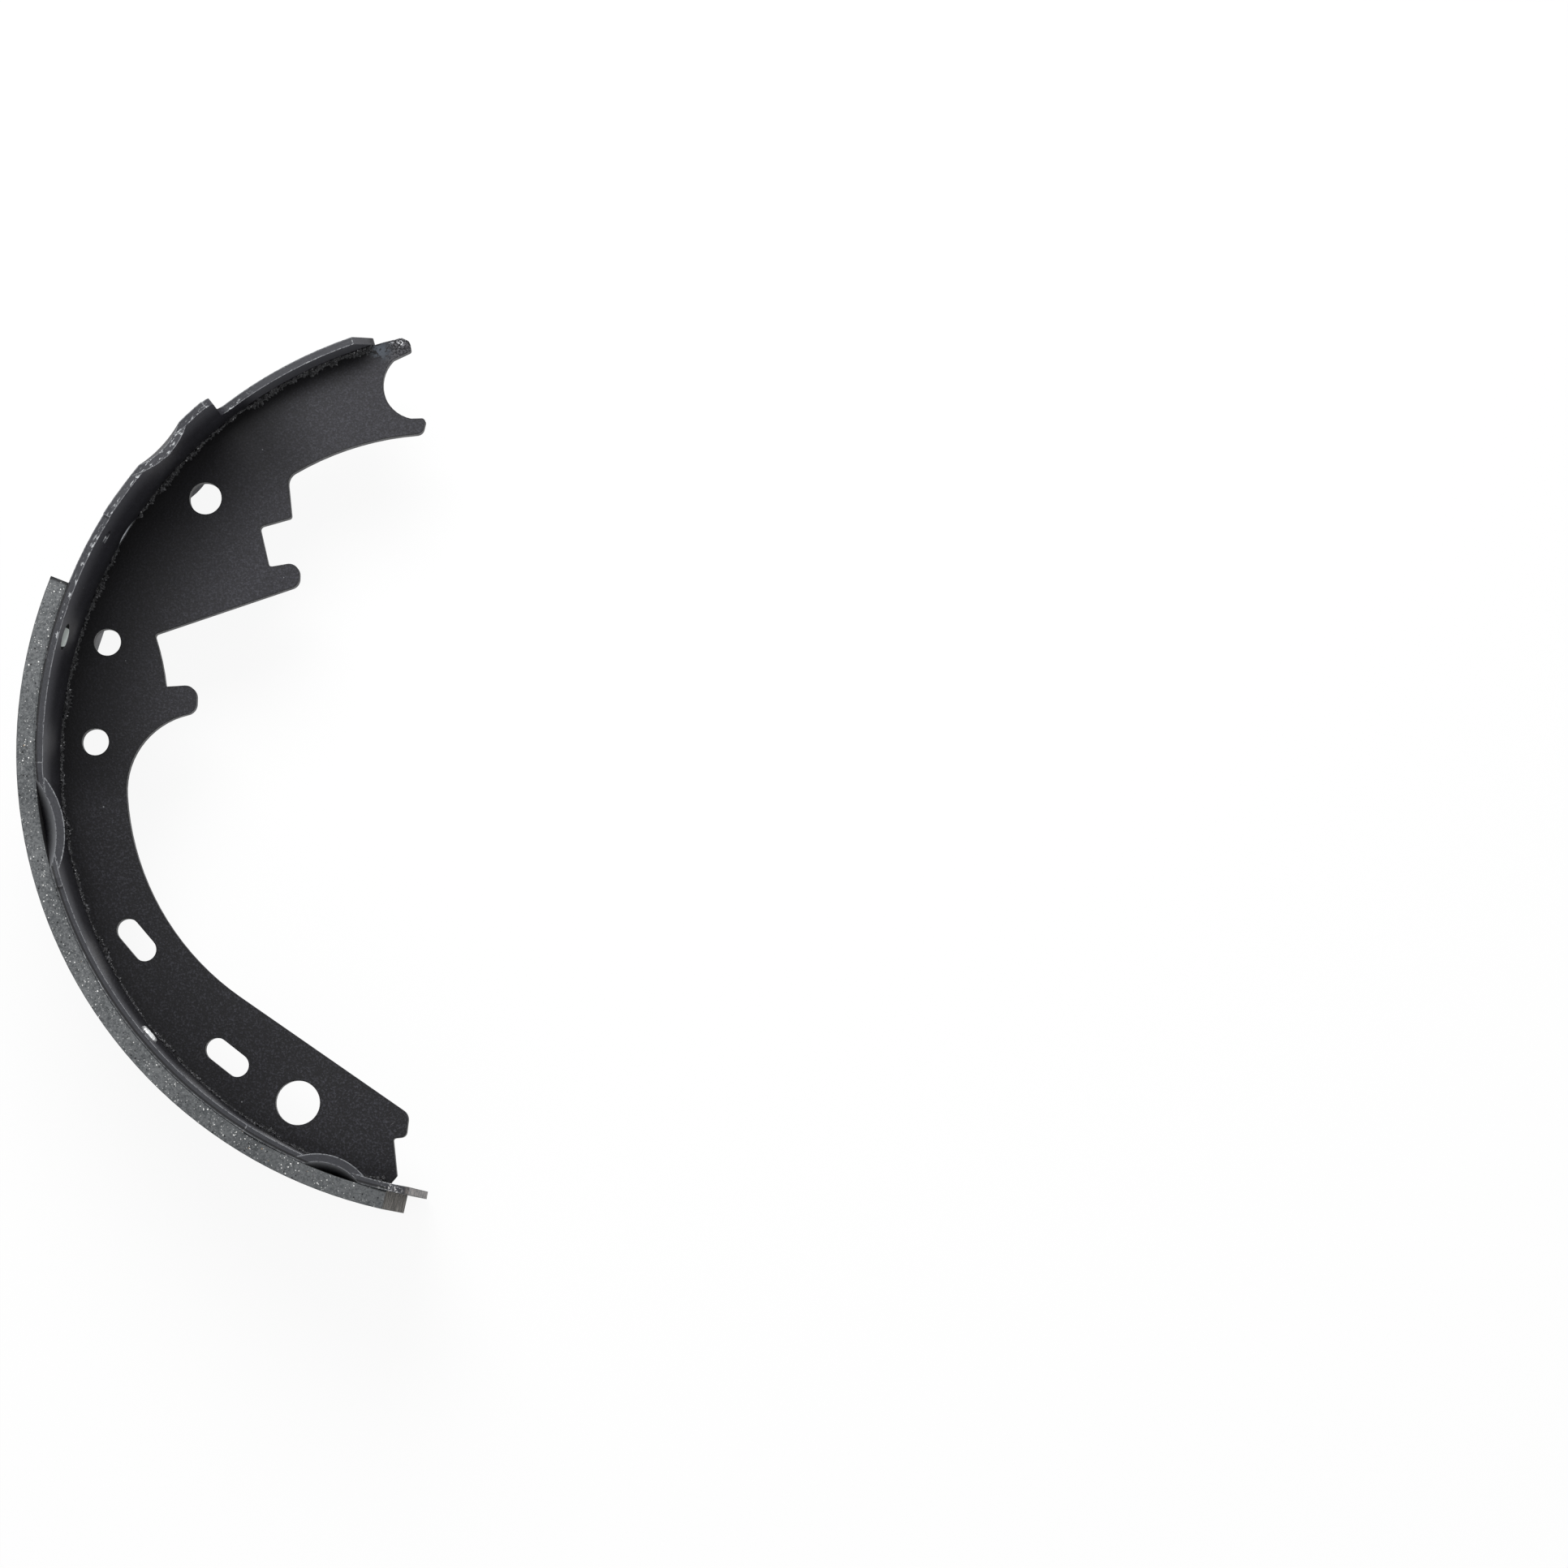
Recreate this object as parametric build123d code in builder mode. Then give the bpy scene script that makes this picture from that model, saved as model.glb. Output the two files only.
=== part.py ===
from build123d import *

import os
from math import cos, degrees, radians, sin, sqrt

# Brake shoe of a drum brake, in millimetres, lying on its side as it comes to rest.
# The drum axis is parallel to Z. A bearing is an angle in degrees about the drum axis,
# counted from the -X direction and growing towards +Y, so the anchor end is at the top
# of the XY plane and the adjuster end is at its foot.

# Friction lining
DRUM_RADIUS = 139.7
LINING_THICKNESS = 5.6
LINING_WIDTH = 76.2
LINING_TOP_BEARING = 22.0
LINING_FOOT_BEARING = -76.9
LINING_RELIEF = 0.6

# Table, the rolled strip under the lining
TABLE_THICKNESS = 2.3
TABLE_SET_IN = 0.3
TABLE_STEP_BEARING = 51.8
TABLE_FOOT_BEARING = -79.6
TABLE_STEP_CORNER = 2.5
TABLE_FOOT_CORNER = 4.5

# Tongue, the narrow end of the table, cut to a blunt point
TONGUE_WIDTH = 26.5
TONGUE_CORNER_BEARING = 71.6
TONGUE_POINT = 6.1
TONGUE_TIP_RADIUS = 4.0
TONGUE_ROOT_RADIUS = 3.0
TONGUE_OVERLAP = 1.0

# Three wide pads on each edge of the table slide on the backing plate
PAD_STAND_OUT = 0.9
PAD_HOLLOW = 1.2
PAD_LAND = 3.0
PAD_RANGES = [(-77.6, -57.3), (-17.6, -1.4), (31.8, 50.8)]

# Nibs: bearing, length along the edge, depth at the edge
NIBS = [(-69.6, 18.0, 2.9), (-9.3, 26.8, 4.2), (43.2, 17.8, 2.3)]
NIB_RUN = 7.0

# Web, the stamped plate, and the tab that stands in a slot of the tongue
WEB_THICKNESS = 3.6
WEB_FOOT_BEARING = -75.8
TAB_LENGTH = 7.2
TAB_BEARING = 66.8
TAB_RECESS = 0.5
TAB_ROOT = 1.0
TAB_SIDE_CLEARANCE = 0.6
TAB_END_CLEARANCE = 0.25

# Anchor seat, the round notch that bears on the anchor pin
SEAT_RADIUS = 10.8
SEAT_DEPTH = 15.0
SEAT_BEARING = 78.6
SEAT_START = 135.0
SEAT_SWEEP = 123.0

# Corners of the web: depth inside the table, bearing, corner radius
HORN = [(0.0, 77.7, 1.4), (1.6, 78.6, 1.4), (4.6, 78.55, 0.9)]
LOWER_HORN = [(25.75, 78.75, 1.1), (30.2, 77.55, 2.4)]
STRUT_NOTCH = [(24.8, 54.0, 4.0), (35.4, 50.2, 1.0), (30.8, 45.0, 1.2), (41.3, 40.7, 1.2)]
LARGE_HOOK = [(47.1, 45.6, 3.2), (52.0, 41.9, 3.2), (21.4, 20.6, 1.0)]
SMALL_HOOK = [(29.3, 12.9, 0.6), (38.4, 14.5, 3.5), (39.9, 9.3, 3.5)]
ADJUSTER_END = [(21.5, -76.0, 6.0), (14.6, -76.4, 2.0), (13.3, -74.6, 0.8), (2.7, -76.4, 0.6)]

# The most of an edge that a rounded corner may take
CORNER_SHARE = 0.48

# Points that the long curves of the web pass through: depth inside the table, bearing
NOTCH_CURVE = (27.2, 66.5)
HOOK_CURVE = (26.2, 16.8)
BACK_CURVE = [(26.5, -42.5), (21.7, -27.5), (19.6, -5.0)]

# Holes of the web: depth inside the table, bearing, diameter
ROUND_HOLES = [(12.8, 42.4, 9.8), (8.6, 17.3, 8.2), (10.4, 3.0, 8.2), (12.3, -59.8, 13.4)]

# Slots of the web: depth inside the table, bearing, lean away from the curve
SLOTS = [(10.5, -26.3, 13.8), (10.9, -47.7, 3.8)]
SLOT_LENGTH = 14.8
SLOT_WIDTH = 7.0

# Welds in the corner between web and table
WELD_TOP_BEARING = 57.1
WELD_PITCH = 16.5
WELD_COUNT = 8
WELD_LEG = 1.2
WELD_LENGTH = 4.0

# Rows of holes in lining and table, and the rivets in the lower rows
ROW_TOP_BEARING = 15.6
ROW_PITCH = 27.5
RIVET_ROWS = 3
RIVET_EDGE_DISTANCE = 11.3
RIVET_SHANK_DIAMETER = 4.8
RIVET_HEAD_DIAMETER = 7.2
RIVET_HEAD_THICKNESS = 1.3
RIVET_ROLL_DIAMETER = 7.0
RIVET_ROLL_THICKNESS = 1.2
RIVET_BORE_DIAMETER = 3.2
RIVET_BORE_DEPTH = 3.6
RIVET_HOLE_CLEARANCE = 0.1
COUNTERBORE_CLEARANCE = 1.4
LINING_UNDER_HEAD = 2.2
OPEN_HOLE_DIAMETER = 8.0
SPARE_HOLE_BEARINGS = [29.6, 43.4]
CENTRE_HOLE_DIAMETER = 10.0
CENTRE_HOLE_BEARING = 32.0

# Sizes worked out from the ones above
table_width = LINING_WIDTH - 2 * TABLE_SET_IN
pad_width = table_width + 2 * PAD_STAND_OUT
rivet_spacing = LINING_WIDTH - 2 * RIVET_EDGE_DISTANCE
table_outer = DRUM_RADIUS - LINING_THICKNESS
table_inner = table_outer - TABLE_THICKNESS
table_cut = 2 * TABLE_THICKNESS
lining_cut = 3 * LINING_THICKNESS
rivet_seat = table_outer + LINING_UNDER_HEAD
shank_radius = RIVET_SHANK_DIAMETER / 2
rivet_hole_radius = (RIVET_SHANK_DIAMETER + RIVET_HOLE_CLEARANCE) / 2
counterbore_radius = (RIVET_HEAD_DIAMETER + COUNTERBORE_CLEARANCE) / 2
row_bearings = [ROW_TOP_BEARING - ROW_PITCH * i for i in range(RIVET_ROWS + 1)]
weld_bearings = [WELD_TOP_BEARING - WELD_PITCH * i for i in range(WELD_COUNT)]
tongue_end_bearing = TONGUE_CORNER_BEARING + degrees(TONGUE_POINT / table_outer)
tab_height = TAB_ROOT + TABLE_THICKNESS - TAB_RECESS
web_top_bearing = HORN[0][1]


def at(radius, bearing):
    """Point of the XY plane at a radius and a bearing from the drum axis."""
    return (-radius * cos(radians(bearing)), radius * sin(radians(bearing)))


def inset(corner):
    """Point of the web at the depth and bearing that a corner gives."""
    return at(table_inner - corner[0], corner[1])


def radial(bearing, radius):
    """Plane square to a radius: local X runs round the drum, local Z points outwards."""
    out = at(1, bearing)
    return Plane(
        origin=Vector(out[0], out[1], 0) * radius,
        x_dir=(out[1], -out[0], 0),
        z_dir=(out[0], out[1], 0),
    )


def band(inner, outer, foot, top):
    """Face of the part of a ring that lies between two bearings."""
    with BuildSketch() as face:
        with BuildLine():
            rim = CenterArc((0, 0), outer, 180 - top, top - foot)
            bore = CenterArc((0, 0), inner, 180 - top, top - foot)
            Line(rim @ 0, bore @ 0)
            Line(rim @ 1, bore @ 1)
        make_face()
    return face.sketch


def hole_pair(bearing, radius, hole_radius):
    """Faces of two holes of a row, one on each side of the web."""
    with BuildSketch(radial(bearing, radius)) as pair:
        with GridLocations(0, rivet_spacing, 1, 2):
            Circle(hole_radius)
    return pair.sketch


def nib_form(nib, side, wall):
    """Leaning round bar that presses one nib into an edge of the table."""
    bearing, length, depth = nib
    slant = sqrt(NIB_RUN**2 + depth**2) / NIB_RUN
    bar_radius = slant / (8 * depth / length**2 - 1 / table_outer)
    edge = radial(bearing, table_outer + bar_radius * slant - depth)
    place = Plane(
        origin=edge.origin + Vector(0, 0, side * table_width / 2),
        x_dir=edge.x_dir,
        z_dir=edge.z_dir * -depth + Vector(0, 0, side * NIB_RUN),
    )
    return place * Cylinder(bar_radius + wall, 4 * bar_radius, mode=Mode.PRIVATE)


def rivet(bearing, side):
    """Semi-tubular rivet: flat head, shank and a tail rolled over inside the table."""
    seat_plane = radial(bearing, rivet_seat)
    section = Plane(
        origin=seat_plane.origin + Vector(0, 0, side * rivet_spacing / 2),
        x_dir=(0, 0, 1),
        z_dir=seat_plane.x_dir * -1,
    )
    roll_radius = RIVET_ROLL_DIAMETER / 2
    bore_radius = RIVET_BORE_DIAMETER / 2
    head_radius = RIVET_HEAD_DIAMETER / 2
    # the flat roll meets the hollow inner face of the table at its two far edges
    under_table = sqrt(table_inner**2 - roll_radius**2) - rivet_seat
    tail = under_table - RIVET_ROLL_THICKNESS
    lip = (shank_radius + bore_radius) / 2
    with BuildPart() as piece:
        with BuildSketch(section):
            with BuildLine():
                Polyline(
                    (0, tail + RIVET_BORE_DEPTH),
                    (0, RIVET_HEAD_THICKNESS),
                    (head_radius, RIVET_HEAD_THICKNESS),
                    (head_radius, 0),
                    (shank_radius, 0),
                    (shank_radius, under_table),
                    (roll_radius, under_table),
                )
                Polyline(
                    (roll_radius, under_table),
                    (lip, tail),
                    (bore_radius, tail),
                    (bore_radius, tail + RIVET_BORE_DEPTH),
                    (0, tail + RIVET_BORE_DEPTH),
                )
            make_face()
        revolve(axis=Axis(section.origin, section.y_dir))
    return piece.part


# Lining
with BuildPart() as lining:
    with BuildSketch():
        add(band(table_outer, DRUM_RADIUS, LINING_FOOT_BEARING, LINING_TOP_BEARING))
    extrude(amount=LINING_WIDTH / 2, both=True)
    # the two long edges beside the table are relieved
    bond_edges = lining.edges().filter_by(GeomType.CIRCLE).sort_by(SortBy.RADIUS)[0:2]
    chamfer(bond_edges, length=LINING_RELIEF)
    for row, bearing in enumerate(row_bearings):
        floor = table_outer - LINING_THICKNESS if row == 0 else rivet_seat
        extrude(
            hole_pair(bearing, floor, counterbore_radius),
            amount=lining_cut,
            mode=Mode.SUBTRACT,
        )
        extrude(
            hole_pair(bearing, table_outer, rivet_hole_radius),
            amount=LINING_THICKNESS,
            both=True,
            mode=Mode.SUBTRACT,
        )
lining.part.label = "lining"

# Inward walls of the nibs
with BuildPart() as nib_walls:
    for nib in NIBS:
        for side in (1, -1):
            add(nib_form(nib, side, TABLE_THICKNESS))
    with BuildSketch():
        Circle(table_outer)
    extrude(amount=table_width / 2, both=True, mode=Mode.INTERSECT)

# Table
with BuildPart() as table:
    with BuildSketch():
        add(band(table_inner, table_outer, TABLE_FOOT_BEARING, TABLE_STEP_BEARING))
    extrude(amount=table_width / 2, both=True)
    with BuildSketch():
        add(
            band(
                table_inner,
                table_outer,
                TABLE_STEP_BEARING - TONGUE_OVERLAP,
                tongue_end_bearing,
            )
        )
    extrude(amount=TONGUE_WIDTH / 2, both=True)
    corners = table.edges().filter_by(
        lambda e: e.geom_type == GeomType.LINE and abs(e.length - TABLE_THICKNESS) < 0.01
    ).sort_by(Axis.Y)
    foot_corners = corners[0:2]
    step_corners = corners[2:6].sort_by(lambda e: abs(e.center().Z))
    fillet(foot_corners, radius=TABLE_FOOT_CORNER)
    fillet(step_corners[0:2], radius=TONGUE_ROOT_RADIUS)
    fillet(step_corners[2:4], radius=TABLE_STEP_CORNER)
    # end of the tongue: everything outside its two slanting edges is cut off
    with BuildSketch(radial(tongue_end_bearing, table_outer)):
        with BuildLine():
            slants = FilletPolyline(
                (-2 * TONGUE_POINT, TONGUE_WIDTH),
                (0, 0),
                (-2 * TONGUE_POINT, -TONGUE_WIDTH),
                radius=TONGUE_TIP_RADIUS,
            )
            Polyline(
                slants @ 0,
                (TONGUE_POINT, TONGUE_WIDTH),
                (TONGUE_POINT, -TONGUE_WIDTH),
                slants @ 1,
            )
        make_face()
    extrude(amount=table_cut, both=True, mode=Mode.SUBTRACT)
    # wide pads, each hollowed a little between its two ends
    for foot, top in PAD_RANGES:
        with BuildSketch():
            add(band(table_inner, table_outer, foot, top))
        extrude(amount=pad_width / 2, both=True)
        half_hollow = radians(top - foot) / 2 * table_outer - PAD_LAND
        hollow_radius = (half_hollow**2 + PAD_HOLLOW**2) / (2 * PAD_HOLLOW)
        hollow_spacing = pad_width + 2 * (hollow_radius - PAD_HOLLOW)
        with BuildSketch(radial((foot + top) / 2, table_inner - half_hollow)):
            with GridLocations(0, hollow_spacing, 1, 2):
                Circle(hollow_radius)
        extrude(amount=2 * half_hollow, mode=Mode.SUBTRACT)
    # nibs
    add(nib_walls.part)
    for nib in NIBS:
        for side in (1, -1):
            add(nib_form(nib, side, 0), mode=Mode.SUBTRACT)
    # rivet holes, with two open holes at the top and four spare ones above them
    for row, bearing in enumerate(row_bearings + SPARE_HOLE_BEARINGS):
        extrude(
            hole_pair(
                bearing, table_outer, OPEN_HOLE_DIAMETER / 2 if row == 0 else rivet_hole_radius
            ),
            amount=table_cut,
            both=True,
            mode=Mode.SUBTRACT,
        )
    # hole on the centre line, and the slot for the tab of the web
    with BuildSketch(radial(CENTRE_HOLE_BEARING, table_outer)):
        Circle(CENTRE_HOLE_DIAMETER / 2)
    extrude(amount=table_cut, both=True, mode=Mode.SUBTRACT)
    with BuildSketch(radial(TAB_BEARING, table_outer)):
        Rectangle(
            TAB_LENGTH + 2 * TAB_END_CLEARANCE,
            WEB_THICKNESS + 2 * TAB_SIDE_CLEARANCE,
        )
    extrude(amount=table_cut, both=True, mode=Mode.SUBTRACT)
table.part.label = "table"

# Web
with BuildPart() as web:
    with BuildSketch() as plate:
        with BuildLine():
            rim = CenterArc(
                (0, 0), table_inner, 180 - web_top_bearing, web_top_bearing - WEB_FOOT_BEARING
            )
            seat = CenterArc(
                inset((SEAT_DEPTH, SEAT_BEARING)), SEAT_RADIUS, SEAT_START, SEAT_SWEEP
            )
            Polyline(*[inset(c) for c in HORN], seat @ 0)
            Polyline(seat @ 1, *[inset(c) for c in LOWER_HORN])
            ThreePointArc(inset(LOWER_HORN[-1]), inset(NOTCH_CURVE), inset(STRUT_NOTCH[0]))
            Polyline([inset(c) for c in STRUT_NOTCH + LARGE_HOOK])
            ThreePointArc(inset(LARGE_HOOK[-1]), inset(HOOK_CURVE), inset(SMALL_HOOK[0]))
            Polyline([inset(c) for c in SMALL_HOOK])
            back = ThreePointArc([inset(p) for p in BACK_CURVE])
            TangentArc(back @ 1, inset(SMALL_HOOK[-1]), tangent=back % 1)
            Polyline(back @ 0, *[inset(c) for c in ADJUSTER_END], rim @ 1)
        make_face()
        # each corner is rounded, by less than half of the shorter of its two edges
        sharp_edges = plate.edges()
        for corner in HORN + LOWER_HORN + STRUT_NOTCH + LARGE_HOOK + SMALL_HOOK + ADJUSTER_END:
            nearest = plate.vertices().sort_by_distance(inset(corner))[0]
            beside = [e.length for e in sharp_edges if e.distance_to(nearest) < 0.001]
            fillet(nearest, radius=min(corner[2], CORNER_SHARE * min(beside)))
        for depth, bearing, diameter in ROUND_HOLES:
            with Locations(inset((depth, bearing))):
                Circle(diameter / 2, mode=Mode.SUBTRACT)
        for depth, bearing, lean in SLOTS:
            with Locations(Location((*inset((depth, bearing)), 0), 90 - bearing + lean)):
                SlotOverall(SLOT_LENGTH, SLOT_WIDTH, mode=Mode.SUBTRACT)
    extrude(amount=WEB_THICKNESS / 2, both=True)
    # welds in the corner between web and table, on both faces
    for bearing in weld_bearings:
        for side in (1, -1):
            seam = radial(bearing, table_inner)
            across = Plane(
                origin=seam.origin + Vector(0, 0, side * WEB_THICKNESS / 2),
                x_dir=(0, 0, 1),
                z_dir=seam.x_dir,
            )
            with BuildSketch(across):
                RegularPolygon(WELD_LEG, 4)
            extrude(amount=WELD_LENGTH / 2, both=True)
    with BuildSketch():
        Circle(table_inner)
    extrude(amount=WEB_THICKNESS, both=True, mode=Mode.INTERSECT)
    # tab in the slot of the tongue
    with BuildSketch(radial(TAB_BEARING, table_inner - TAB_ROOT)):
        Rectangle(TAB_LENGTH, WEB_THICKNESS)
    extrude(amount=tab_height)
web.part.label = "web"

# Rivets, numbered from the anchor end, upper side first
rivets = []
for row in range(1, RIVET_ROWS + 1):
    for side in (1, -1):
        piece = rivet(row_bearings[row], side)
        piece.label = "rivet_" + str(len(rivets) + 1)
        rivets.append(piece)

# The shoe is built about the drum axis and the middle of its width, then moved so that the
# origin is the middle of its box, on the surface that it lies on
pieces = [lining.part, table.part, web.part] + rivets
box = Compound(pieces).bounding_box()
place = Pos(-box.center().X, -box.center().Y, -box.min.Z)

os.makedirs("parts", exist_ok=True)
for piece in pieces:
    placed = place * piece
    placed.label = piece.label
    export_step(placed, "parts/" + piece.label + ".step")
    print(piece.label, round(piece.volume, 1), "mm3")
print("drum axis at", round(place.position.X, 4), round(place.position.Y, 4))
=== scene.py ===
"""Dressing of a drum brake shoe: finishes, weld beads, rivets, wear and a plain studio.

Everything is in metres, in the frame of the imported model. The shoe lies on its side, the
drum axis stands upright beside it, and a bearing is an angle about that axis in degrees,
counted from the -X direction and growing towards +Y.
"""

import logging
import math
from collections.abc import Sequence
from dataclasses import dataclass
from enum import Enum
from functools import reduce

import bmesh
import bpy
from mathutils import Matrix, Vector, noise


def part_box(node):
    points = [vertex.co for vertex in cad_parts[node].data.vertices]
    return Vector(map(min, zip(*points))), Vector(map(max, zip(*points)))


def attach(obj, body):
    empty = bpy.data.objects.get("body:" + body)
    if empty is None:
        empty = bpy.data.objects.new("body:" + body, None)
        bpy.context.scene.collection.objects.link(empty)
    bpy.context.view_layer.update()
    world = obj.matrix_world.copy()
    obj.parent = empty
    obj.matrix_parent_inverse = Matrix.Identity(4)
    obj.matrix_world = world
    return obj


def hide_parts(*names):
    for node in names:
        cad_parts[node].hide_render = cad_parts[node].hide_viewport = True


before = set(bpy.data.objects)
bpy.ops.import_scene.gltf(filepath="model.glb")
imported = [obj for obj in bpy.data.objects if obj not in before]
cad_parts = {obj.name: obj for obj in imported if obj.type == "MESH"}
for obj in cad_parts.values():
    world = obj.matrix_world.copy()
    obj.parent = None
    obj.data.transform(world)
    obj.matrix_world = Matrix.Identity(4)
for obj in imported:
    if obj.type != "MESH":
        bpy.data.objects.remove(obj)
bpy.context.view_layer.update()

MM = 0.001
SEEN_RAYS = ("Is Camera Ray", "Is Glossy Ray", "Is Transmission Ray")
LOG = logging.getLogger("brake_shoe")

Range = tuple[float, float]
Colour = tuple[float, float, float]
Socket = bpy.types.NodeSocket
Value = float | Socket
Paint = Colour | Socket


class Side(Enum):
    """The two faces of the web, named by the way they look as the shoe lies."""

    UPPER = 1
    LOWER = -1


class Slot(Enum):
    """Material slots of the record."""

    COAT = "shoe_coat"
    FRICTION = "friction"
    RIVET = "rivet_plate"


class Axis(Enum):
    """Parts of a vector, by their place in it."""

    X = 0
    Y = 1
    Z = 2


@dataclass(frozen=True)
class Drum:
    """The drum that the shoe fits, and the places on it that several pieces share."""

    radius: float
    axis_x: float
    axis_y: float
    middle: float
    table_outer: float
    table_inner: float
    lining_ends: Range = (-76.9, 22.0)
    open_bearing: float = 15.6
    open_height: float = 26.8 * MM
    centre_bearing: float = 32.0

    @classmethod
    def from_frame(cls, radius: float = 139.7 * MM) -> "Drum":
        """Works the drum out from the boxes of the lining, the table and the web.

        Args:
            radius: Radius of the friction face, in metres.

        Returns:
            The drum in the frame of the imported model.
        """
        lining_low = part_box("lining")[0]
        web_low, web_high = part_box("web")
        axis_x = lining_low.x + radius
        return cls(
            radius=radius,
            axis_x=axis_x,
            axis_y=lining_low.y - radius * math.sin(math.radians(cls.lining_ends[0])),
            middle=(web_low.z + web_high.z) / 2,
            table_outer=axis_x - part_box("table")[0].x,
            table_inner=axis_x - web_low.x,
        )

    def out(self, bearing: float) -> Vector:
        """Direction away from the drum axis at a bearing."""
        return Vector((-math.cos(math.radians(bearing)), math.sin(math.radians(bearing)), 0.0))

    def along(self, bearing: float) -> Vector:
        """Direction in which the bearing grows."""
        return Vector((math.sin(math.radians(bearing)), math.cos(math.radians(bearing)), 0.0))

    def point(self, radius: float, bearing: float, height: float = 0.0) -> Vector:
        """Point at a radius, a bearing and a height above the middle of the width."""
        centre = Vector((self.axis_x, self.axis_y, self.middle + height))
        return centre + self.out(bearing) * radius

    def arc(self, bearing: float) -> float:
        """Length along the friction face from bearing 0, in metres."""
        return math.radians(bearing) * self.radius

    def arcs(self, bearings: Range) -> Range:
        """Lengths along the friction face of two bearings."""
        return self.arc(bearings[0]), self.arc(bearings[1])

    def inside(self, depths: Range) -> Range:
        """Radii of two depths inside the inner face of the table."""
        return self.table_inner - depths[0], self.table_inner - depths[1]

    def bearing_of(self, place: Vector) -> float:
        """Bearing of a point."""
        return math.degrees(math.atan2(place.y - self.axis_y, self.axis_x - place.x))


def ramp(value: float, low: float, high: float) -> float:
    """Straight ramp from 0 at low to 1 at high."""
    return min(1.0, max(0.0, (value - low) / (high - low)))


def ragged(place: float, seed: float, size: float, octaves: int = 4) -> float:
    """Smooth random value along a line.

    Args:
        place: Distance along the line, in metres.
        seed: Number that sets one line apart from another.
        size: Length of the largest waves, in metres.
        octaves: Number of waves, each half as long as the one before.

    Returns:
        A value from about -1 to 1.
    """
    total = 0.0
    for step in range(octaves):
        scale = 2**step
        total += noise.noise(Vector((place / size * scale, seed, step * 7.3))) / scale
    return total


def mesh_piece(
    name: str,
    vertices: Sequence[Vector],
    faces: Sequence[Sequence[int]],
    material: bpy.types.Material,
) -> bpy.types.Object:
    """Makes a smoothly shaded piece of the shoe that rides on its only body.

    Args:
        name: Name of the piece.
        vertices: Its points in the frame of the model.
        faces: Its faces as indices of points.
        material: Its finish.

    Returns:
        The new object.
    """
    mesh = bpy.data.meshes.new(name)
    mesh.from_pydata([tuple(v) for v in vertices], [], [tuple(f) for f in faces])
    mesh.validate()
    mesh.update()
    mesh.polygons.foreach_set("use_smooth", [True] * len(mesh.polygons))
    mesh.materials.append(material)
    piece = bpy.data.objects.new(name, mesh)
    bpy.context.scene.collection.objects.link(piece)
    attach(piece, "root")
    return piece


def tube_faces(rings: int, around: int, closed: bool) -> list[tuple[int, ...]]:
    """Faces of a tube of rings.

    Args:
        rings: Number of rings along the tube.
        around: Number of points of each ring.
        closed: Whether the last ring meets the first. An open tube gets two end caps.

    Returns:
        The faces as indices of points.
    """
    faces: list[tuple[int, ...]] = []
    for ring in range(rings if closed else rings - 1):
        here, there = ring * around, (ring + 1) % rings * around
        for k in range(around):
            nxt = (k + 1) % around
            faces.append((here + k, here + nxt, there + nxt, there + k))
    if not closed:
        last = (rings - 1) * around
        faces.append(tuple(reversed(range(around))))
        faces.append(tuple(range(last, last + around)))
    return faces


@dataclass(frozen=True)
class Grains:
    """Scattered round grains: their mean spacing, and two shares.

    The size is the radius of the largest grain as a share of the spacing, and the share is
    the part of the cells that hold a grain.
    """

    spacing: float
    size: float
    share: float


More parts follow.
